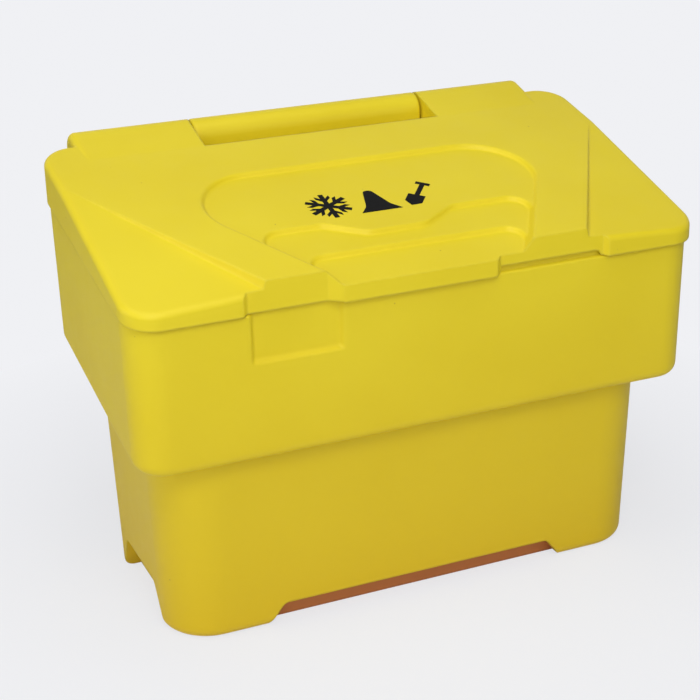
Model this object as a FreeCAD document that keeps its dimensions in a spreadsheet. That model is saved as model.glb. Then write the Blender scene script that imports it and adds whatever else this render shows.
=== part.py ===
import FreeCAD, Part
import Sketcher

import math
import os
import re

# A rotationally moulded grit salt bin: a tapered tub with a wider sloping collar, a hinged lid,
# the steel rod that the lid turns on, the plugs that hide its ends, and three vinyl symbols.
# Millimetres, +Z up, the front towards -Y. Sketches count Y from the front face of the lid, and
# each finished piece is then placed so that the origin lies under the middle of the bin.

os.makedirs("parts", exist_ok=True)
doc = FreeCAD.newDocument("grit_salt_bin")
sheet = doc.addObject("Spreadsheet::Sheet", "Sizes")

SIZES = {
    # moulding
    "wall": 6,
    "collar_draft": 0.8,
    "foot_draft": 1.9,
    # lid outline and planes
    "lid_width": 1000,
    "lid_depth": 500,
    "lid_corner": 54,
    "rim_angle": 10.6,
    "panel_angle": 13.3,
    "skirt_front": 579,
    "lid_rise": 49,
    "skirt_gap": 2,
    "lip_gap": 0.3,
    # corner facets of the lid
    "facet_back_margin": 147,
    "facet_side_margin": 212,
    "facet_lift": 0.5,
    "facet_tail": 5,
    "facet_fall": 2.9,
    "facet_draft": 25,
    "rim_round": 11,
    # front of the lid
    "front_relief": 8,
    "relief_margin": 189,
    "relief_flank": 8,
    "lip_left": 156,
    "lip_right": 110,
    "lip_proud": 3,
    "lip_flank_left": 23,
    "lip_flank_right": 11,
    "finger_margin": 3,
    "finger_height": 11,
    # stepped recess in the top of the lid
    "recess_margin": 170,
    "recess_front_half": 176,
    "recess_flare": 31,
    "recess_corner": 104,
    "recess_draft": 33,
    "tread": 7,
    "step_one": 156,
    "bump_left": 60,
    "bump_flank_left": 65,
    "bump_right": 38,
    "bump_flank_right": 66,
    "bump_reach": 40,
    "bump_corner": 30,
    "step_two": 82,
    "step_corner": 38,
    "recess_round": 6,
    "step_round": 4,
    # hinge
    "hinge_reach": 29.4,
    "hinge_drop": 24.34,
    "knuckle_radius": 29,
    "barrel_half": 219,
    "barrel_round": 5,
    "knuckle_gap": 3,
    "knuckle_margin": 64,
    "knuckle_round": 12,
    "notch_depth": 61,
    "heel_depth": 42,
    "heel_gap": 5.4,
    "shelf_reach": 14,
    "rod_diameter": 12,
    "rod_clearance": 0.05,
    "end_wall": 14,
    "plug_diameter": 20,
    "plug_length": 4,
    "plug_play": 0.5,
    "plug_clearance": 0.05,
    # tub
    "collar_inset": 8,
    "collar_side_inset": 3.5,
    "collar_height": 253,
    "collar_angle": 11.4,
    "collar_corner": 46,
    "collar_round": 18,
    "shoulder_round": 4,
    "upstand_step": 8,
    "upstand_height": 15,
    "foot_inset": 60.5,
    "foot_corner": 85,
    "foot_round": 20,
    "bracket_root": 126.8,
    "bracket_tip": 59.8,
    # shallow arches round the foot of the tub
    "arch_depth": 31,
    "front_arch_margin": 219,
    "front_arch_height": 40,
    "front_arch_flank": 31,
    "side_arch_half": 120,
    "side_arch_height": 75,
    "side_arch_flank": 42,
    # recess for a hasp in the front of the collar
    "hasp_left": 307,
    "hasp_right": 152,
    "hasp_drop": 83,
    "hasp_depth": 8,
    "hasp_draft": 38,
    "hasp_round": 4,
    # vinyl symbols on the upper tread of the lid
    "vinyl": 0.3,
    "symbol_height": 78,
    "symbol_pitch": 81,
    "symbol_row_x": -13,
    "symbol_row_y": 202,
}
for row, (name, value) in enumerate(SIZES.items(), start=1):
    sheet.set(f"A{row}", name)
    sheet.set(f"B{row}", str(value))
    sheet.setAlias(f"B{row}", name)
doc.recompute()

# Places that follow from the sizes
PLACES = {
    "panel_front": "skirt_front + lid_rise",
    "facet_side_back": "lid_depth - facet_back_margin",
    "facet_front_half": "lid_width / 2 - facet_side_margin",
    "facet_front_height": "panel_front + facet_lift",
    "facet_drop": "lid_width / 2 * tan(facet_fall) - facet_lift",
    "facet_rise": "atan(cos(facet_fall) * (tan(panel_angle)"
                  " + facet_drop / (facet_side_back + facet_tail)))",
    "relief_half": "lid_width / 2 - relief_margin",
    "finger_left": "lip_right + lip_flank_right",
    "finger_right": "relief_half - finger_margin",
    "recess_back": "lid_depth - recess_margin",
    "hinge_back": "lid_depth + hinge_reach",
    "hinge_height": "panel_front + tan(panel_angle) * hinge_back - hinge_drop",
    "knuckle_end": "lid_width / 2 - knuckle_margin",
    "notch_front": "lid_depth - notch_depth",
    "heel_front": "lid_depth - heel_depth",
    "heel_height": "skirt_front - skirt_gap + tan(rim_angle) * lid_depth + upstand_height"
                   " + heel_gap",
    "collar_front": "skirt_front - collar_height",
    "bracket_low": "hinge_height - bracket_root",
    "bracket_high": "hinge_height - bracket_tip",
    "front_arch_half": "lid_width / 2 - front_arch_margin",
    "hasp_low": "skirt_front - hasp_drop",
}

ALIAS = re.compile(r"\b(" + "|".join(SIZES) + r")\b")
PLACE = re.compile(r"\b(" + "|".join(PLACES) + r")\b")


def bound(formula):
    """A formula in the names of sizes and places, as an expression of the document."""
    text = str(formula)
    while PLACE.search(text):
        text = PLACE.sub(lambda found: f"({PLACES[found[0]]})", text)
    return ALIAS.sub(r"Sizes.\1", text)


def value_of(formula):
    """What a formula gives now."""
    return float(sheet.evalExpression(bound(formula)))


def bind(feature, prop, formula):
    feature.setExpression(prop, bound(formula))


# Formulas shared by several pieces
HALF = "lid_width / 2"
RIM = "tan(rim_angle)"
PANEL = "tan(panel_angle)"
SHOULDER = "skirt_front - skirt_gap"
COLLAR = "tan(collar_angle)"
COLLAR_MIDDLE = "collar_front + tan(collar_angle) * lid_depth + collar_round"
BACK = "hinge_back + knuckle_radius"
OVER = "2 * lid_width"
NOTCH_HALF = "barrel_half + knuckle_gap"
SHIFT = "-(hinge_back + knuckle_radius - lip_proud) / 2"


# Sketches and features
def corner_guess(before, corner, after, radius):
    """Where a round of this radius meets the two sides of a corner, and its centre."""
    back = (before - corner).normalize()
    ahead = (after - corner).normalize()
    half = back.getAngle(ahead) / 2
    reach = radius / math.tan(half)
    middle = (back + ahead).normalize() * (radius / math.sin(half))
    return corner + back * reach, corner + ahead * reach, corner + middle


def draw_outline(sketch, corners):
    """Closed outline of sides and rounds: each corner is (x, y) or (x, y, radius), in formulas."""
    places = [FreeCAD.Vector(value_of(c[0]), value_of(c[1]), 0) for c in corners]
    count = len(corners)
    starts = []
    ends = []
    centres = []
    for index, corner in enumerate(corners):
        here = places[index]
        if len(corner) == 3:
            before = places[index - 1]
            after = places[(index + 1) % count]
            enter, leave, centre = corner_guess(before, here, after, value_of(corner[2]))
        else:
            enter, leave, centre = here, here, None
        ends.append(enter)
        starts.append(leave)
        centres.append(centre)
    for index in range(count):
        side = Part.LineSegment(starts[index], ends[(index + 1) % count])
        sketch.addGeometry(side, False)
    for index, corner in enumerate(corners):
        before = (index - 1) % count
        if len(corner) == 3:
            anchor = add_round(sketch, before, index, places[index], ends[index], starts[index],
                               centres[index], corner[2])
        else:
            sketch.addConstraint(Sketcher.Constraint("Coincident", before, 2, index, 1))
            anchor = index
        for kind, formula in (("DistanceX", corner[0]), ("DistanceY", corner[1])):
            here = value_of(formula)
            number = sketch.addConstraint(Sketcher.Constraint(kind, -1, 1, anchor, 1, here))
            bind(sketch, f"Constraints[{number}]", formula)


def add_round(sketch, before, after, corner, enter, leave, centre, radius):
    """Round between two sides, with a point at the sharp corner that carries its place."""
    middle = centre + (corner - centre).normalize() * enter.distanceToPoint(centre)
    arc = Part.Arc(enter, middle, leave)
    number = sketch.addGeometry(arc, False)
    swapped = sketch.getPoint(number, 1).distanceToPoint(enter) > 1e-4
    first, last = (2, 1) if swapped else (1, 2)
    point = sketch.addGeometry(Part.Point(corner), True)
    sketch.addConstraint(Sketcher.Constraint("Tangent", before, 2, number, first))
    sketch.addConstraint(Sketcher.Constraint("Tangent", number, last, after, 1))
    sketch.addConstraint(Sketcher.Constraint("PointOnObject", point, 1, before))
    sketch.addConstraint(Sketcher.Constraint("PointOnObject", point, 1, after))
    held = sketch.addConstraint(Sketcher.Constraint("Radius", number, value_of(radius)))
    bind(sketch, f"Constraints[{held}]", radius)
    return point


def draw_circle(sketch, across, up, radius):
    centre = FreeCAD.Vector(value_of(across), value_of(up), 0)
    number = sketch.addGeometry(Part.Circle(centre, FreeCAD.Vector(0, 0, 1), value_of(radius)))
    for kind, formula in (("DistanceX", across), ("DistanceY", up)):
        held = sketch.addConstraint(
            Sketcher.Constraint(kind, -1, 1, number, 3, value_of(formula))
        )
        bind(sketch, f"Constraints[{held}]", formula)
    held = sketch.addConstraint(Sketcher.Constraint("Radius", number, value_of(radius)))
    bind(sketch, f"Constraints[{held}]", radius)


def sketch_on(body, role, shift="0", turn="rotationx(0)"):
    """Sketch on an origin plane of its own body, lifted along the plane's normal and turned."""
    sketch = body.newObject("Sketcher::SketchObject", "Sketch")
    plane = next(item for item in body.Origin.OriginFeatures if item.Role == role)
    sketch.AttachmentSupport = [(plane, "")]
    sketch.MapMode = "FlatFace"
    bind(sketch, "AttachmentOffset", f"placement(vector(0; 0; {shift}); {turn})")
    return sketch


def extrude(body, kind, sketch, length, taper=None, reverse=False):
    """Pad or pocket of one sketch by a length, its sides leaning out by the taper."""
    feature = body.newObject("PartDesign::" + kind, kind)
    feature.Profile = sketch
    feature.Type = "Length"
    bind(feature, "Length", length)
    feature.Reversed = reverse
    if taper:
        bind(feature, "TaperAngle", taper)
    sketch.Visibility = False
    return feature


def shape_from(body, kind, role, corners, length, shift="0", taper=None, reverse=False):
    sketch = sketch_on(body, role, shift)
    draw_outline(sketch, corners)
    return extrude(body, kind, sketch, length, taper, reverse)


def round_edges(body, radius, chosen):
    """Fillet of the edges of the body so far for which chosen(edge) holds."""
    doc.recompute()
    edges = body.Tip.Shape.Edges
    names = [f"Edge{number}" for number, edge in enumerate(edges, start=1) if chosen(edge)]
    fillet = body.newObject("PartDesign::Fillet", "Fillet")
    fillet.Base = (body.Tip if body.Tip != fillet else fillet.BaseFeature, names)
    bind(fillet, "Radius", radius)
    return fillet


def on_slope(edge, front, slope, slack=0.6):
    """Whether both ends and the middle of an edge lie on a plane that rises with Y."""
    first, last = edge.ParameterRange
    places = [edge.valueAt(first + (last - first) * part) for part in (0, 0.5, 1)]
    rise = value_of(slope)
    level = value_of(front)
    return all(abs(place.z - level - rise * place.y) < slack for place in places)


def new_body(name):
    return doc.addObject("PartDesign::Body", name)


def plan_rectangle(inset, radius, side_inset=None):
    """Rounded rectangle set in from the outline of the lid."""
    left = f"-{HALF} + ({side_inset or inset})"
    right = f"{HALF} - ({side_inset or inset})"
    back = f"lid_depth - ({inset})"
    return [(left, inset, radius), (right, inset, radius), (right, back, radius),
            (left, back, radius)]


def slope_band(front, slope, up):
    """Side view of all that lies above (up) or below a plane rising with Y."""
    near = "-lid_depth"
    far = "2 * lid_depth"
    limit = "3 * lid_depth" if up else "-lid_depth"
    low = (near, f"({front}) + ({slope}) * ({near})")
    high = (far, f"({front}) + ({slope}) * ({far})")
    return [low, high, (far, limit), (near, limit)] if up else [low, (near, limit), (far, limit),
                                                               high]


def cut_across(body, corners):
    """Remove a side view through the full width."""
    return shape_from(body, "Pocket", "YZ_Plane", corners, OVER, shift="lid_width")


# Tub: each form is made twice, at the outside and one wall further in
def on_niche(edge):
    """Whether an edge of the collar belongs to the recess for the hasp."""
    box = edge.BoundBox
    margin = 3 * value_of("hasp_depth")
    beside = -box.XMin < value_of("hasp_left") + margin and -box.XMax > value_of("hasp_right") - margin
    return beside and box.ZMin > value_of("hasp_low") - margin and box.YMax < value_of("lid_depth / 4")


def collar_form(name, skin):
    body = new_body(name)
    draft = f"tan(collar_draft) * skirt_front + {skin}"
    corners = plan_rectangle(f"collar_inset + {draft}", f"collar_corner - {skin}",
                             f"collar_side_inset + {draft}")
    shape_from(body, "Pad", "XY_Plane", corners, "2 * lid_depth", taper="collar_draft")
    cut_across(body, slope_band(f"{SHOULDER} - {skin}", RIM, True))
    bottom = f"collar_front + {skin}"
    cut_across(body, slope_band(bottom, COLLAR, False))
    round_edges(body, f"collar_round - {skin}", lambda edge: on_slope(edge, bottom, COLLAR))
    if skin == "0":
        round_edges(body, "shoulder_round", lambda edge: on_slope(edge, SHOULDER, RIM))
    flank = f"{skin} + (collar_inset + {skin}) * tan(hasp_draft)"
    low = f"hasp_low - ({flank})"
    top = "skirt_front + lid_depth"
    left = f"-hasp_left - ({flank})"
    right = f"-hasp_right + {flank}"
    niche = [(left, top), (left, low), (right, low), (right, top)]
    shape_from(body, "Pocket", "XZ_Plane", niche, f"collar_inset + hasp_depth + {skin}",
               taper="-hasp_draft")
    if skin == "0":
        round_edges(body, "hasp_round", on_niche)
    return body


def arch_corners(half, flank, height, middle, skin):
    crown = f"{height} + {skin}"
    soft = f"{flank} / 2"
    below = "-lid_depth"
    return [
        (f"{middle} - {half} - {skin}", below),
        (f"{middle} + {half} + {skin}", below),
        (f"{middle} + {half} + {skin}", "0"),
        (f"{middle} + {half} - {flank} + {skin}", crown, soft),
        (f"{middle} - {half} + {flank} - {skin}", crown, soft),
        (f"{middle} - {half} - {skin}", "0"),
    ]


def foot_form(name, skin):
    body = new_body(name)
    corners = plan_rectangle(f"foot_inset + {skin}", f"foot_corner - {skin}")
    shape_from(body, "Pad", "XY_Plane", corners, COLLAR_MIDDLE, shift=skin, taper="foot_draft")
    round_edges(body, f"foot_round - {skin}", lambda edge: on_slope(edge, skin, "0"))
    front = arch_corners("front_arch_half", "front_arch_flank", "front_arch_height", "0", skin)
    side = arch_corners("side_arch_half", "side_arch_flank", "side_arch_height", "lid_depth / 2",
                        skin)
    inner = f"foot_inset + arch_depth + {skin}"
    shape_from(body, "Pocket", "XZ_Plane", front, "lid_depth", shift=f"-({inner})", reverse=True)
    shape_from(body, "Pocket", "XZ_Plane", front, "lid_depth", shift=f"-(lid_depth - ({inner}))")
    shape_from(body, "Pocket", "YZ_Plane", side, "lid_depth", shift=f"{HALF} - ({inner})",
               reverse=True)
    shape_from(body, "Pocket", "YZ_Plane", side, "lid_depth", shift=f"-({HALF} - ({inner}))")
    return body


def bracket_form(name, skin):
    """Barrel of the hinge on a hollow bracket that rises from the back of the collar."""
    body = new_body(name)
    back_wall = "(lid_depth - collar_inset)"
    slope = f"((bracket_high - bracket_low) / ({BACK} - {back_wall}))"
    front = f"notch_front - shelf_reach + {skin}"
    back = f"{BACK} - {skin}"
    lift = f"{skin} * sqrt(1 + {slope} ^ 2)"
    shelf = f"{SHOULDER} + {RIM} * lid_depth + upstand_height - {skin}"
    neck = f"hinge_back - knuckle_radius + {skin}"
    corners = [
        (front, f"bracket_low + {slope} * ({front} - {back_wall}) + {lift}"),
        (back, f"bracket_low + {slope} * ({back} - {back_wall}) + {lift}"),
        (back, "hinge_height"),
        (neck, "hinge_height"),
        (neck, shelf),
        (front, shelf),
    ]
    length = f"2 * (barrel_half - {skin})"
    shape_from(body, "Pad", "YZ_Plane", corners, length, shift=f"-(barrel_half - {skin})")
    sketch = sketch_on(body, "YZ_Plane", f"-(barrel_half - {skin})")
    draw_circle(sketch, "hinge_back", "hinge_height", f"knuckle_radius - {skin}")
    extrude(body, "Pad", sketch, length)
    if skin == "0":
        end = value_of("barrel_half")
        axle = value_of("hinge_height")

        def end_rim(edge):
            box = edge.BoundBox
            return box.XLength < 0.1 and abs(abs(box.XMin) - end) < 0.1 and box.ZMax > axle + 0.1

        round_edges(body, "barrel_round", end_rim)
    return body


def upstand_form(name):
    body = new_body(name)
    corners = plan_rectangle("collar_inset + upstand_step", "collar_corner - upstand_step")
    shape_from(body, "Pad", "XY_Plane", corners, "lid_depth", shift=COLLAR_MIDDLE)
    cut_across(body, slope_band(f"{SHOULDER} + upstand_height", RIM, True))
    return body


def opening_form(name):
    """Mouth of the tub, its back edge stepping forward round the hinge bracket."""
    body = new_body(name)
    inset = "collar_inset + upstand_step + wall"
    radius = "collar_corner - upstand_step - wall"
    left, right = f"-{HALF} + {inset}", f"{HALF} - ({inset})"
    back = f"lid_depth - ({inset})"
    step = "notch_front - shelf_reach"
    corners = [
        (left, inset, radius), (right, inset, radius), (right, back, radius),
        ("barrel_half", back), ("barrel_half", step), ("-barrel_half", step),
        ("-barrel_half", back), (left, back, radius),
    ]
    shape_from(body, "Pad", "XY_Plane", corners, "lid_depth", shift=COLLAR_MIDDLE)
    return body


# Lid: the same two skins
def lid_plan(skin):
    """Outline from above, with the set-back front and, on the outside, the proud lip."""
    near = skin
    relief = f"front_relief + {skin}"
    left, right = f"-{HALF} + {skin}", f"{HALF} - {skin}"
    corner = f"lid_corner - {skin}"
    front = [
        (left, near, corner),
        ("-relief_half - relief_flank", near),
        ("-relief_half", relief),
    ]
    if skin == "0":
        front += [
            ("-lip_left - lip_flank_left", relief),
            ("-lip_left", "-lip_proud"),
            ("lip_right", "-lip_proud"),
            ("lip_right + lip_flank_right", relief),
        ]
    front += [
        ("relief_half", relief),
        ("relief_half + relief_flank", near),
        (right, near, corner),
    ]
    back = f"lid_depth - {skin}"
    return front + [(right, back, corner), (left, back, corner)]


def cut_facet(body, side, skin):
    """Corner facet: a plane that falls towards the corner, bounded by a leaning riser."""
    across = f"(facet_side_back / ({HALF} - facet_front_half))"
    widen = f"sqrt(1 + {across} ^ 2)"
    tall = "(lid_depth / 12)"
    out = f"({skin} + {tall} * tan(facet_draft)) * {widen}"
    near = "-lid_depth / 4"
    far = f"(1.2 * {HALF})"

    def on_plane(x, y):
        slip = f"({y}) * tan(facet_rise) * tan(facet_fall)"
        return (f"{side} * (({x}) / cos(facet_fall) - {slip})", f"({y}) / cos(facet_rise)")

    corners = [
        on_plane(f"facet_front_half + ({near} - {out}) / {across}", near),
        on_plane(far, f"{across} * ({far} - facet_front_half) + {out}"),
        on_plane(far, near),
    ]
    steepness = "(cos(facet_fall) * cos(facet_rise))"
    height = f"facet_front_height + ({tall} - {skin}) / {steepness}"
    sketch = sketch_on(body, "XY_Plane", height,
                       f"rotationy({side} * facet_fall) * rotationx(facet_rise)")
    draw_outline(sketch, corners)
    extrude(body, "Pocket", sketch, tall, taper="-facet_draft")


def cut_tread(body, back_edge, depth, skin):
    """One level of the stepped recess, open to the front and parallel to the panel."""
    flare = "tan(recess_flare)"
    widen = f"{skin} * sqrt(1 + {flare} ^ 2)"
    near = "-lid_depth / 8"
    scale = "cos(panel_angle)"

    def wall_at(place):
        return f"recess_front_half + {flare} * ({place}) + {widen}"

    def corner(across, place, *radius):
        return (across, f"({place}) / {scale}", *radius)

    first = back_edge[0]
    last = back_edge[-1]
    corners = [corner(f"-({wall_at(near)})", near), corner(wall_at(near), near)]
    corners.append(corner(wall_at(f"{first[0]}"), first[0], f"{first[1]} + {skin}"))
    corners += [corner(*point) for point in back_edge[1:-1]]
    corners.append(corner(f"-({wall_at(f'{last[0]}')})", last[0], f"{last[1]} + {skin}"))
    sketch = sketch_on(body, "XY_Plane", "panel_front", "rotationx(panel_angle)")
    draw_outline(sketch, corners)
    extrude(body, "Pocket", sketch, f"{depth} + {skin}", taper="-recess_draft")


def on_rim(edge):
    """Whether an edge of the lid runs along its outline, well above the skirt's lower edge."""
    ends = [vertex.Point for vertex in edge.Vertexes]
    half = value_of(HALF) - 0.1
    depth = value_of("lid_depth") - 0.1
    rise = value_of(RIM)
    floor = value_of("skirt_front + finger_height")
    outside = all(abs(p.x) > half or abs(p.y) < 0.1 or p.y > depth for p in ends)
    level = math.hypot(ends[0].x - ends[-1].x, ends[0].y - ends[-1].y) > 1
    return outside and level and all(p.z > floor + rise * p.y for p in ends)


def on_tread(edge, depth):
    """Whether an edge bounds one level of the recess, away from the front of the lid."""
    first, last = edge.ParameterRange
    places = [edge.valueAt(first + (last - first) * part) for part in (0, 0.5, 1)]
    half = value_of("facet_front_half")
    near = value_of("front_relief") + 1
    inside = all(abs(place.x) < half for place in places) and any(p.y > near for p in places)
    return inside and on_slope(edge, f"panel_front - ({depth}) / cos(panel_angle)", PANEL)


def lid_form(name, skin):
    body = new_body(name)
    shape_from(body, "Pad", "XY_Plane", lid_plan(skin), "2 * lid_depth")
    cut_across(body, slope_band(f"panel_front - {skin} / cos(panel_angle)", PANEL, True))
    if skin == "0":
        cut_across(body, slope_band("skirt_front", RIM, False))
    for side in ("-1", "1"):
        cut_facet(body, side, skin)
    if skin == "0":
        round_edges(body, "rim_round", on_rim)
    back = f"recess_back + {skin}"
    cut_tread(body, [(back, "recess_corner"), (back, "recess_corner")], "tread", skin)
    step = f"step_one + {skin}"
    bump = f"step_one - bump_reach + {skin}"
    curved = [
        (step, "step_corner"),
        ("bump_right + bump_flank_right", step, "bump_corner"),
        ("bump_right", bump, "bump_corner"),
        ("-bump_left", bump, "bump_corner"),
        ("-bump_left - bump_flank_left", step, "bump_corner"),
        (step, "step_corner"),
    ]
    cut_tread(body, curved, "2 * tread", skin)
    step = f"step_two + {skin}"
    cut_tread(body, [(step, "step_corner"), (step, "step_corner")], "3 * tread", skin)
    if skin == "0":
        round_edges(body, "recess_round", lambda edge: on_tread(edge, "0"))
        for depth in ("tread", "2 * tread", "3 * tread"):
            round_edges(body, "step_round", lambda edge: on_tread(edge, depth))
    cut_hinge_notch(body, skin)
    return body


def cut_hinge_notch(body, skin):
    half = f"{NOTCH_HALF} + {skin}"
    near = f"notch_front - {skin}"
    far = "2 * lid_depth"
    notch = [(f"-({half})", near), (half, near), (half, far), (f"-({half})", far)]
    shape_from(body, "Pocket", "XY_Plane", notch, "2 * lid_depth", reverse=True)
    heel = f"heel_front - {skin}"
    level = f"heel_height + {skin}"
    corners = [(heel, "0"), (far, "0"), (far, level), (heel, level)]
    cut_across(body, corners)
    if skin == "0":
        under = "notch_front - 2 * shelf_reach"
        corners = [(under, "0"), (far, "0"), (far, level), (under, level)]
        shape_from(body, "Pocket", "YZ_Plane", corners, "lid_width - 2 * wall",
                   shift=f"{HALF} - wall")
        open_finger_gap(body)
        add_lip_seat(body)


def open_finger_gap(body):
    level = "skirt_front + finger_height"
    soft = "finger_height"
    corners = [("finger_left", "0"), ("finger_right", "0"), ("finger_right", level, soft),
               ("finger_left", level)]
    behind = "-(front_relief + 2 * wall)"
    shape_from(body, "Pocket", "XZ_Plane", corners, "lid_depth / 4", shift=behind, reverse=True)


def add_lip_seat(body):
    """Underside of the lip, down to just over the shoulder of the tub."""
    level = f"{SHOULDER} + lip_gap"
    near = "-lip_proud"
    far = "front_relief + wall"
    corners = [
        (near, f"{level} + {RIM} * ({near})"),
        (far, f"{level} + {RIM} * ({far})"),
        (far, "skirt_front + finger_height"),
        (near, "skirt_front + finger_height"),
    ]
    shape_from(body, "Pad", "YZ_Plane", corners, "lip_left + lip_right", shift="-lip_left")


def knuckle_form(name, side, skin):
    """Knuckle beside the barrel, under a ramp that leaves the panel and meets it smoothly."""
    body = new_body(name)
    start = "notch_front"
    start_height = f"panel_front + {PANEL} * notch_front"
    run = f"(hinge_back - {start})"
    rise = f"(hinge_height - ({start_height}))"
    span = f"sqrt({run} ^ 2 + {rise} ^ 2)"
    lean = f"(atan({rise} / {run}) + asin(knuckle_radius / {span}))"
    tangent = f"sqrt({run} ^ 2 + {rise} ^ 2 - knuckle_radius ^ 2)"
    radius = f"(knuckle_radius - {skin})"
    top = (f"hinge_back - {radius} * sin({lean})", f"hinge_height + {radius} * cos({lean})")
    begin = (f"{top[0]} - {tangent} * cos({lean})", f"{top[1]} - {tangent} * sin({lean})")
    floor = f"hinge_height - {radius}"
    corners = [begin, (begin[0], floor), ("hinge_back", floor), ("hinge_back", "hinge_height"), top]
    inner = f"{NOTCH_HALF} + {skin}"
    outer = "knuckle_end" if skin == "0" else "knuckle_end - end_wall"
    length = f"{outer} - ({inner})"
    shift = inner if side == "1" else f"-({outer})"
    shape_from(body, "Pad", "YZ_Plane", corners, length, shift=shift)
    sketch = sketch_on(body, "YZ_Plane", shift)
    draw_circle(sketch, "hinge_back", "hinge_height", radius)
    extrude(body, "Pad", sketch, length)
    if skin == "0":
        end = value_of(f"{side} * knuckle_end")
        low = value_of("hinge_height")

        def upper_rim(edge):
            box = edge.BoundBox
            flat = abs(box.XMin - end) < 0.1 and abs(box.XMax - end) < 0.1
            return flat and box.ZMax > low + 0.1

        round_edges(body, "knuckle_round", upper_rim)
    return body


# Joining skins, and pieces
def fuse(name, shapes):
    joined = doc.addObject("Part::MultiFuse", name)
    joined.Shapes = shapes
    joined.Refine = True
    return joined


def rod_bore(name, diameter, start, length):
    """Cylinder along the hinge axis, from one X to the next."""
    bore = doc.addObject("Part::Cylinder", name)
    bind(bore, "Radius", f"({diameter}) / 2")
    bind(bore, "Height", length)
    bore.Placement = FreeCAD.Placement(
        FreeCAD.Vector(), FreeCAD.Rotation(FreeCAD.Vector(0, 1, 0), 90)
    )
    bind(bore, "Placement.Base.x", start)
    bind(bore, "Placement.Base.y", "hinge_back")
    bind(bore, "Placement.Base.z", "hinge_height")
    return bore


def hollow(label, outside, inside):
    piece = doc.addObject("Part::Cut", label)
    piece.Base = outside
    piece.Tool = inside
    piece.Refine = True
    bind(piece, "Placement.Base.y", SHIFT)
    return piece


def make_tub():
    outside = [collar_form("Collar", "0"), foot_form("Foot", "0"), bracket_form("Bracket", "0"),
               upstand_form("Upstand")]
    inside = [collar_form("CollarHollow", "wall"), foot_form("FootHollow", "wall"),
              bracket_form("BracketHollow", "wall"), opening_form("Opening"),
              rod_bore("TubBore", "rod_diameter", "-barrel_half - wall",
                       "2 * (barrel_half + wall)")]
    return hollow("bin_body", fuse("TubOutside", outside), fuse("TubInside", inside))


def make_lid():
    outside = [lid_form("LidForm", "0"), knuckle_form("KnuckleLeft", "-1", "0"),
               knuckle_form("KnuckleRight", "1", "0")]
    inside = [lid_form("LidHollow", "wall"), knuckle_form("KnuckleLeftHollow", "-1", "wall"),
              knuckle_form("KnuckleRightHollow", "1", "wall"),
              rod_bore("LidBore", "rod_diameter + 2 * rod_clearance", "-knuckle_end",
                       "2 * knuckle_end"),
              rod_bore("PlugSeatLeft", "plug_diameter", "-knuckle_end - wall",
                       "wall + plug_length"),
              rod_bore("PlugSeatRight", "plug_diameter", "knuckle_end - plug_length",
                       "wall + plug_length")]
    return hollow("lid", fuse("LidOutside", outside), fuse("LidInside", inside))


def place_piece(body):
    bind(body, "Placement.Base.y", SHIFT)
    return body


def make_round_bar(label, start, length, diameter):
    """Plain round bar along the hinge axis."""
    body = new_body(label)
    sketch = sketch_on(body, "YZ_Plane", start)
    draw_circle(sketch, "hinge_back", "hinge_height", f"({diameter}) / 2")
    extrude(body, "Pad", sketch, length)
    return place_piece(body)


def make_rod():
    half = "(knuckle_end - plug_length - plug_play)"
    return make_round_bar("hinge_rod", f"-{half}", f"2 * {half}", "rod_diameter")


def make_plug(label, start):
    """Plug that lies flush in the end of a knuckle and hides the rod."""
    return make_round_bar(label, start, "plug_length", "plug_diameter - 2 * plug_clearance")


# Symbols on the upper tread: a snowflake, a heap of grit and a shovel
def symbol_outline(body, column, corners):
    """Symbol on the tread, its outline given in symbol heights from its own middle."""
    middle_x = f"symbol_row_x + {column} * symbol_pitch"
    middle_y = "symbol_row_y / cos(panel_angle)"
    sketch = sketch_on(body, "XY_Plane", "panel_front - tread / cos(panel_angle)",
                       "rotationx(panel_angle)")
    placed = [(f"{middle_x} + symbol_height * ({x})", f"{middle_y} + symbol_height * ({y})",
               *(f"symbol_height * ({radius})" for radius in soft))
              for x, y, *soft in corners]
    draw_outline(sketch, placed)
    return extrude(body, "Pad", sketch, "vinyl")


def make_snowflake():
    """Six arms round a middle, each a bar with a pair of twigs, drawn as one outline."""
    body = new_body("symbol_snowflake")
    bar = 0.055
    arm = 0.5
    twig_root = 0.27
    twig_reach = 0.11
    corners = []
    for index in range(6):
        angle = math.radians(60 * index)
        along = (math.sin(angle), math.cos(angle))
        aside = (math.cos(angle), -math.sin(angle))
        base = bar / math.tan(math.radians(30))
        half_arm = [
            (bar, base),
            (bar, twig_root - bar),
            (bar + twig_reach, twig_root + twig_reach - bar),
            (bar + twig_reach, twig_root + twig_reach + bar),
            (bar, twig_root + bar),
            (bar, arm),
        ]
        left = [(-x, y) for x, y in half_arm[1:]]
        right = [(x, y) for x, y in reversed(half_arm)]
        for x, y in left + right:
            corners.append((aside[0] * x + along[0] * y, aside[1] * x + along[1] * y))
    symbol_outline(body, -1, [(f"{x:.4f}", f"{y:.4f}") for x, y in corners])
    return place_piece(body)


def make_heap():
    """Heap of grit: a smooth mound with flaring flanks, on a flat base."""
    body = new_body("symbol_grit_heap")
    corners = [("-0.47", "-0.48"), ("0.47", "-0.48"), ("0.28", "-0.24", "0.3"),
               ("0.09", "0.4", "0.1"), ("-0.09", "0.4", "0.1"), ("-0.28", "-0.24", "0.3")]
    symbol_outline(body, 0, corners)
    return place_piece(body)


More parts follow.
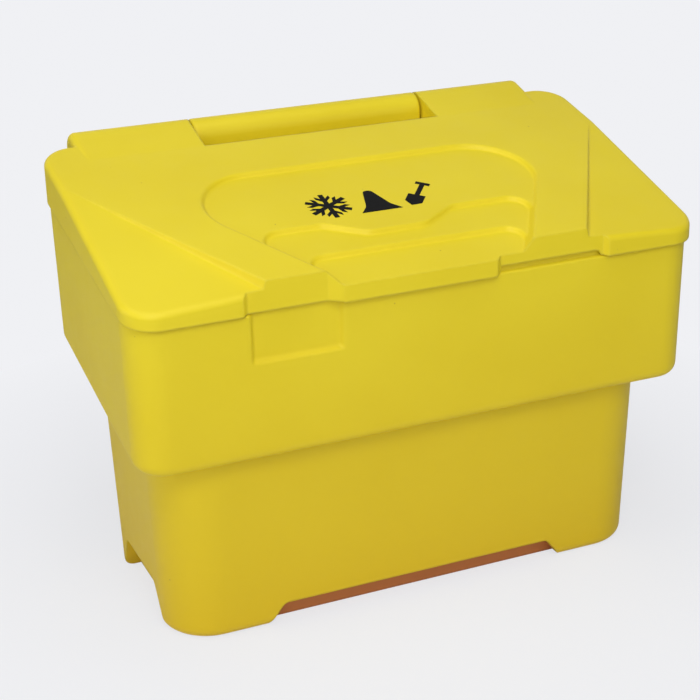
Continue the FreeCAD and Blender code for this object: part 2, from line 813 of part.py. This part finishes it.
def make_shovel():
    """Shovel leaning to the right, with a pointed blade and a crosswise grip."""
    body = new_body("symbol_shovel")
    lean = math.radians(38)
    half = [(0, -0.56), (0.19, -0.4), (0.19, -0.08), (0.055, -0.08), (0.055, 0.4), (0.16, 0.4),
            (0.16, 0.51)]
    upright = half + [(-x, y) for x, y in reversed(half[1:])]
    corners = []
    for x, y in upright:
        across = x * math.cos(lean) + y * math.sin(lean)
        up = y * math.cos(lean) - x * math.sin(lean)
        corners.append((f"{across:.4f}", f"{up:.4f}"))
    symbol_outline(body, 1, corners)
    return place_piece(body)


pieces = [
    make_tub(),
    make_lid(),
    make_rod(),
    make_plug("rod_plug_left", "-knuckle_end"),
    make_plug("rod_plug_right", "knuckle_end - plug_length"),
    make_snowflake(),
    make_heap(),
    make_shovel(),
]
doc.recompute()

failed = [item.Label for item in doc.Objects if {"Invalid", "Error"} & set(item.State)]
if failed:
    raise RuntimeError("failed objects: " + ", ".join(failed))
for piece in pieces:
    if piece.Shape.isNull() or not piece.Shape.isValid() or len(piece.Shape.Solids) != 1:
        raise RuntimeError(f"bad shape: {piece.Label} with {len(piece.Shape.Solids)} solids")
for piece in pieces:
    piece.Shape.exportStep(f"parts/{piece.Label}.step")
    box = piece.Shape.BoundBox
    print(f"{piece.Label}: volume {piece.Shape.Volume / 1e6:.3f} l, box "
          f"{box.XMin:.1f} {box.XMax:.1f} {box.YMin:.1f} {box.YMax:.1f} "
          f"{box.ZMin:.1f} {box.ZMax:.1f}")
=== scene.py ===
import math

import bpy
from mathutils import Matrix, Vector

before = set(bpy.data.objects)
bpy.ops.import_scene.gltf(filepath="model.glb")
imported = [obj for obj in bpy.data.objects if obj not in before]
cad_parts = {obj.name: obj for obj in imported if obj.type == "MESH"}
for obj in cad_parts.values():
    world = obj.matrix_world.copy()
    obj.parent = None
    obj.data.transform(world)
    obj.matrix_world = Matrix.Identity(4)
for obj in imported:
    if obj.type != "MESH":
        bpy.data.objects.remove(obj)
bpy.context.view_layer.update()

# Camera, fitted to the corners, rim and foot of the bin, in metres and degrees
CAMERA_PLACE = Vector((-1.0702, -2.4323, 1.4297))
CAMERA_YAW = 23.17
CAMERA_PITCH = 21.70
CAMERA_ROLL = -1.29
LENS_MM = 83.41
SENSOR_MM = 36.0

# Colours, as linear light
YELLOW_DEEP = (0.745, 0.590, 0.012)
YELLOW_PALE = (0.785, 0.635, 0.018)
YELLOW_PAINTED_LOW_SHADE = (0.700, 0.490, 0.010)
YELLOW_WORN = (0.860, 0.740, 0.090)
YELLOW_SPECK = (0.450, 0.300, 0.030)
BROWN_PAINTED_SHADE = (0.540, 0.190, 0.060)
FILM_LOW = (0.004, 0.004, 0.004)
FILM_HIGH = (0.010, 0.010, 0.010)
STEEL = (0.55, 0.55, 0.53)
BACKGROUND = (0.871, 0.877, 0.905)
WHITE = (1.0, 1.0, 1.0)

# Finish: gloss, and roughness, which is a range where it is uneven
PLASTIC_GLOSS = 0.28
PLASTIC_ROUGHNESS = (0.40, 0.52)
FILM_GLOSS = 0.05
FILM_ROUGHNESS = 0.7
STEEL_ROUGHNESS = (0.28, 0.48)
FLOOR_GLOSS = 0.1
FLOOR_ROUGHNESS = 0.9

# Noise patterns: waves per metre, and level of detail
PLASTIC_TONE = (4.0, 2.0)
PLASTIC_SCUFF = (45.0, 4.0)
PLASTIC_SMEAR = (30.0, 4.0)
FILM_TONE = (160.0, 3.0)
STEEL_SMEAR = (90.0, 4.0)

# The plastic goes from its deep to its pale yellow over this part of its tone pattern
TONE_RANGE = (0.3, 0.7)

# Relief: waves per metre, strength, and height in metres
PLASTIC_DENTS = (7.0, 0.10, 0.004)
PLASTIC_GRAIN = (380.0, 0.12, 0.0004)
FILM_GRAIN = (90.0, 0.08, 0.0004)
RELIEF_DETAIL = 2.0

# Edges: the radius that they are softened by, and how strongly that shows as wear
EDGE_RADIUS = 0.006
EDGE_WEAR = 2.5

# Specks: cells per metre, share of the cells that hold one, its radius in metres, and the share
# of the radius within which it is at its darkest
SPECK_CELLS = 60.0
SPECK_SHARE = 0.03
SPECK_RADIUS = 0.0016
SPECK_CORE = 0.3

# Painted shade: the plastic is painted a little deeper and more orange towards the ground, where it
# lies in shade and takes warm bounce light, up to this height
PAINTED_LOW_SHADE_TOP = 0.58

# Painted shade, dark brown, in the front and back arches of the foot where deep shade falls: up to
# this height, this far to each side of the middle, this far behind the foot's faces, and the width
# over which it fades out
ARCH_SHADE_TOP = 0.06
ARCH_SHADE_HALF_WIDTH = 0.285
ARCH_SHADE_BEHIND = 0.0213
ARCH_SHADE_FADE = 0.006

# Share of the floor's look that is its plain colour, beside the bin and far from it; the rest
# is lit and takes the shadow. The distances are from the middle of the bin, in metres.
FLOOR_PLAIN_NEAR = 0.80
FLOOR_PLAIN_FAR = 1.0
FLOOR_NEAR = 0.55
FLOOR_FAR = 1.2
FLOOR_SIZE = 30.0

# Light: strength of the world, where the lamps aim, and for each lamp its place, size and watts
WORLD_FILL = 0.03
LAMP_AIM = Vector((0.0, 0.0, 0.35))
LAMPS = {
    "top_soft": ((-0.5, -0.5, 3.6), (3.0, 3.0), 56),
    "front_high": ((-0.6, -2.6, 3.0), (1.2, 1.0), 35),
    "front_left": ((-2.0, -3.4, 2.2), (2.4, 2.0), 47),
    "front_right": ((1.8, -3.6, 1.8), (2.4, 2.0), 18),
    "left_side": ((-3.6, 0.0, 1.6), (2.0, 2.0), 29),
}


# Shader helpers
def new_material(name):
    """New material, with its nodes, links and main shader."""
    material = bpy.data.materials.new(name)
    material.use_nodes = True
    nodes = material.node_tree.nodes
    links = material.node_tree.links
    return material, nodes, links, nodes["Principled BSDF"]


def own_place(nodes):
    """Place on the piece in its own axes, so that a pattern moves with the piece."""
    return nodes.new("ShaderNodeTexCoord").outputs["Object"]


def own_axes(nodes, links):
    """The X, Y and Z of the place on the piece."""
    split = nodes.new("ShaderNodeSeparateXYZ")
    links.new(own_place(nodes), split.inputs["Vector"])
    return split.outputs


def noise(nodes, links, scale, detail):
    """Noise with this many waves per metre."""
    texture = nodes.new("ShaderNodeTexNoise")
    texture.inputs["Scale"].default_value = scale
    texture.inputs["Detail"].default_value = detail
    links.new(own_place(nodes), texture.inputs["Vector"])
    return texture.outputs["Fac"]


def ramp(nodes, links, source, low, high, first=0.0, last=1.0):
    """Colour that goes from low to high as the source goes from first to last."""
    blend = nodes.new("ShaderNodeValToRGB")
    blend.color_ramp.elements[0].position = first
    blend.color_ramp.elements[0].color = (*low, 1)
    blend.color_ramp.elements[1].position = last
    blend.color_ramp.elements[1].color = (*high, 1)
    links.new(source, blend.inputs["Fac"])
    return blend.outputs["Color"]


def mix_colour(nodes, links, share, first, second):
    """First colour with a share of the second, which is a plain colour."""
    mix = nodes.new("ShaderNodeMix")
    mix.data_type = "RGBA"
    links.new(share, mix.inputs["Factor"])
    links.new(first, mix.inputs["A"])
    mix.inputs["B"].default_value = (*second, 1)
    return mix.outputs["Result"]


def mix_shaders(nodes, links, share, first, second):
    """First shader node with a share of the second."""
    mix = nodes.new("ShaderNodeMixShader")
    links.new(share, mix.inputs["Fac"])
    links.new(first.outputs[0], mix.inputs[1])
    links.new(second.outputs[0], mix.inputs[2])
    return mix.outputs[0]


def math_node(nodes, links, operation, *values):
    """Result of the operation, held between 0 and 1. The values are numbers or sockets."""
    node = nodes.new("ShaderNodeMath")
    node.operation = operation
    node.use_clamp = True
    for socket, value in zip(node.inputs, values):
        if isinstance(value, float):
            socket.default_value = value
        else:
            links.new(value, socket)
    return node.outputs[0]


def map_range(nodes, links, source, first, last, low, high):
    """Goes from low to high as the source goes from first to last, and no further."""
    node = nodes.new("ShaderNodeMapRange")
    values = (("From Min", first), ("From Max", last), ("To Min", low), ("To Max", high))
    for name, value in values:
        node.inputs[name].default_value = value
    links.new(source, node.inputs["Value"])
    return node.outputs["Result"]


def uneven_roughness(nodes, links, shader, pattern, extent):
    """Roughness that wanders between the two ends of its extent."""
    source = noise(nodes, links, *pattern)
    rough = map_range(nodes, links, source, 0.0, 1.0, *extent)
    links.new(rough, shader.inputs["Roughness"])


def relief(nodes, links, form, normal=None):
    """Normal of a noise relief, on top of the given normal."""
    scale, strength, height = form
    node = nodes.new("ShaderNodeBump")
    node.inputs["Strength"].default_value = strength
    node.inputs["Distance"].default_value = height
    links.new(noise(nodes, links, scale, RELIEF_DETAIL), node.inputs["Height"])
    if normal:
        links.new(normal, node.inputs["Normal"])
    return node.outputs["Normal"]


# Masks of the plastic
def edge_mask(nodes, links, soft_normal):
    """Near 1 where the softened normal leaves the true one, which is along the edges."""
    surface = nodes.new("ShaderNodeNewGeometry")
    dot = nodes.new("ShaderNodeVectorMath")
    dot.operation = "DOT_PRODUCT"
    links.new(soft_normal, dot.inputs[0])
    links.new(surface.outputs["Normal"], dot.inputs[1])
    gap = math_node(nodes, links, "SUBTRACT", 1.0, dot.outputs["Value"])
    return math_node(nodes, links, "MULTIPLY", gap, EDGE_WEAR)


def speck_mask(nodes, links):
    """Small soft specks in a share of the cells of a fixed pattern."""
    cells = nodes.new("ShaderNodeTexVoronoi")
    cells.inputs["Scale"].default_value = SPECK_CELLS
    links.new(own_place(nodes), cells.inputs["Vector"])
    radius = SPECK_RADIUS * SPECK_CELLS
    near = map_range(nodes, links, cells.outputs["Distance"], SPECK_CORE * radius, radius, 1.0, 0.0)
    split = nodes.new("ShaderNodeSeparateColor")
    links.new(cells.outputs["Color"], split.inputs["Color"])
    chosen = math_node(nodes, links, "LESS_THAN", split.outputs["Red"], SPECK_SHARE)
    return math_node(nodes, links, "MULTIPLY", near, chosen)


def painted_low_shade_mask(nodes, links):
    """Painted shade: 1 at the ground, falling to 0 near the top of the tub."""
    height = own_axes(nodes, links)["Z"]
    return map_range(nodes, links, height, 0.0, PAINTED_LOW_SHADE_TOP, 1.0, 0.0)


def foot_faces():
    """Y of the foot's front and back faces."""
    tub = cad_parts["bin_body"].data
    foot = [vertex.co.y for vertex in tub.vertices if vertex.co.z < ARCH_SHADE_TOP]
    return min(foot), max(foot)


def arch_painted_shade_mask(nodes, links):
    """Painted shade: 1 on what lies low and behind the front and back faces of the foot, inside its
    arches.
    """
    axes = own_axes(nodes, links)
    across = math_node(nodes, links, "ABSOLUTE", axes["X"])
    front, back = foot_faces()
    front += ARCH_SHADE_BEHIND
    back -= ARCH_SHADE_BEHIND
    mask = map_range(nodes, links, axes["Y"], front, front + ARCH_SHADE_FADE, 0.0, 1.0)
    for source, end in ((axes["Y"], back), (axes["Z"], ARCH_SHADE_TOP), (across, ARCH_SHADE_HALF_WIDTH)):
        part = map_range(nodes, links, source, end - ARCH_SHADE_FADE, end, 1.0, 0.0)
        mask = math_node(nodes, links, "MULTIPLY", mask, part)
    return mask


# Materials
def moulded_plastic():
    """Rotationally moulded plastic: soft dents, fine grain, a few specks and pale worn edges, with
    painted shade that deepens it towards the ground and darkens the arches of the foot.
    """
    material, nodes, links, shader = new_material("moulded_plastic")
    shader.inputs["Specular IOR Level"].default_value = PLASTIC_GLOSS
    uneven_roughness(nodes, links, shader, PLASTIC_SMEAR, PLASTIC_ROUGHNESS)

    edge = nodes.new("ShaderNodeBevel")
    edge.inputs["Radius"].default_value = EDGE_RADIUS
    soft = edge.outputs["Normal"]
    normal = relief(nodes, links, PLASTIC_DENTS, soft)
    normal = relief(nodes, links, PLASTIC_GRAIN, normal)
    links.new(normal, shader.inputs["Normal"])

    tone = noise(nodes, links, *PLASTIC_TONE)
    colour = ramp(nodes, links, tone, YELLOW_DEEP, YELLOW_PALE, *TONE_RANGE)
    scuff = math_node(nodes, links, "MULTIPLY", edge_mask(nodes, links, soft),
                      noise(nodes, links, *PLASTIC_SCUFF))
    for mask, second in (
        # painted shade, deeper and more orange towards the ground
        (painted_low_shade_mask(nodes, links), YELLOW_PAINTED_LOW_SHADE),
        (scuff, YELLOW_WORN),
        (speck_mask(nodes, links), YELLOW_SPECK),
        # painted shade, dark brown in the arches of the foot
        (arch_painted_shade_mask(nodes, links), BROWN_PAINTED_SHADE),
    ):
        colour = mix_colour(nodes, links, mask, colour, second)
    links.new(colour, shader.inputs["Base Color"])
    return material


def black_film():
    """Vinyl film, slightly uneven in tone."""
    material, nodes, links, shader = new_material("black_film")
    shader.inputs["Roughness"].default_value = FILM_ROUGHNESS
    shader.inputs["Specular IOR Level"].default_value = FILM_GLOSS
    colour = ramp(nodes, links, noise(nodes, links, *FILM_TONE), FILM_LOW, FILM_HIGH)
    links.new(colour, shader.inputs["Base Color"])
    links.new(relief(nodes, links, FILM_GRAIN), shader.inputs["Normal"])
    return material


def plated_steel():
    """Plated steel, slightly uneven in gloss."""
    material, nodes, links, shader = new_material("plated_steel")
    shader.inputs["Metallic"].default_value = 1.0
    shader.inputs["Base Color"].default_value = (*STEEL, 1)
    uneven_roughness(nodes, links, shader, STEEL_SMEAR, STEEL_ROUGHNESS)
    return material


def dress_nodes():
    """Give each node its material, on all its faces."""
    plastic = moulded_plastic()
    film = black_film()
    looks = {
        "bin_body": plastic,
        "lid": plastic,
        "rod_plug_left": plastic,
        "rod_plug_right": plastic,
        "hinge_rod": plated_steel(),
        "symbol_snowflake": film,
        "symbol_grit_heap": film,
        "symbol_shovel": film,
    }
    for name, material in looks.items():
        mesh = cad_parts[name].data
        mesh.materials.clear()
        mesh.materials.append(material)
        for polygon in mesh.polygons:
            polygon.material_index = 0


# Surroundings
def add_world():
    """Even fill light; the camera and gloss see the plain background colour."""
    world = bpy.data.worlds.new("studio")
    bpy.context.scene.world = world
    world.use_nodes = True
    nodes = world.node_tree.nodes
    links = world.node_tree.links
    fill = nodes["Background"]
    fill.inputs["Color"].default_value = (*WHITE, 1)
    fill.inputs["Strength"].default_value = WORLD_FILL
    seen = nodes.new("ShaderNodeBackground")
    seen.inputs["Color"].default_value = (*BACKGROUND, 1)
    path = nodes.new("ShaderNodeLightPath").outputs
    either = math_node(nodes, links, "MAXIMUM", path["Is Camera Ray"], path["Is Glossy Ray"])
    mixed = mix_shaders(nodes, links, either, fill, seen)
    links.new(mixed, nodes["World Output"].inputs["Surface"])


def add_floor():
    """Pale floor that takes the shadow; the camera sees part of it as the plain background."""
    bpy.ops.mesh.primitive_plane_add(size=FLOOR_SIZE, location=(0, 0, 0))
    floor = bpy.context.object
    floor.name = "studio_floor"
    material, nodes, links, shader = new_material("pale_floor")
    shader.inputs["Base Color"].default_value = (*BACKGROUND, 1)
    shader.inputs["Roughness"].default_value = FLOOR_ROUGHNESS
    shader.inputs["Specular IOR Level"].default_value = FLOOR_GLOSS
    plain = nodes.new("ShaderNodeEmission")
    plain.inputs["Color"].default_value = (*BACKGROUND, 1)
    away = nodes.new("ShaderNodeVectorMath")
    away.operation = "LENGTH"
    links.new(own_place(nodes), away.inputs[0])
    share = map_range(nodes, links, away.outputs["Value"], FLOOR_NEAR, FLOOR_FAR,
                      FLOOR_PLAIN_NEAR, FLOOR_PLAIN_FAR)
    path = nodes.new("ShaderNodeLightPath").outputs
    share = math_node(nodes, links, "MULTIPLY", path["Is Camera Ray"], share)
    mixed = mix_shaders(nodes, links, share, shader, plain)
    links.new(mixed, nodes["Material Output"].inputs["Surface"])
    floor.data.materials.append(material)


def add_lamps():
    """Rectangular lamps that aim at the middle of the bin."""
    for name, (place, size, watts) in LAMPS.items():
        data = bpy.data.lights.new(name, "AREA")
        data.shape = "RECTANGLE"
        data.size, data.size_y = size
        data.energy = watts
        lamp = bpy.data.objects.new(name, data)
        lamp.location = place
        lamp.rotation_euler = (LAMP_AIM - Vector(place)).to_track_quat("-Z", "Y").to_euler()
        bpy.context.collection.objects.link(lamp)


def add_camera():
    """Camera at the place, turn and lens that were fitted to the photograph."""
    yaw, pitch, roll = (math.radians(a) for a in (CAMERA_YAW, CAMERA_PITCH, CAMERA_ROLL))
    look = Vector((math.sin(yaw) * math.cos(pitch), math.cos(yaw) * math.cos(pitch),
                   -math.sin(pitch)))
    level = Vector((math.cos(yaw), -math.sin(yaw), 0))
    upright = level.cross(look)
    right = math.cos(roll) * level + math.sin(roll) * upright
    up = -math.sin(roll) * level + math.cos(roll) * upright
    turn = Matrix((right, up, -look)).transposed()
    data = bpy.data.cameras.new("photo_camera")
    data.lens = LENS_MM
    data.sensor_width = SENSOR_MM
    data.sensor_fit = "HORIZONTAL"
    camera = bpy.data.objects.new("photo_camera", data)
    camera.matrix_world = Matrix.Translation(CAMERA_PLACE) @ turn.to_4x4()
    bpy.context.collection.objects.link(camera)
    bpy.context.scene.camera = camera


dress_nodes()
add_world()
add_floor()
add_lamps()
add_camera()
bpy.context.scene.view_settings.view_transform = "Standard"
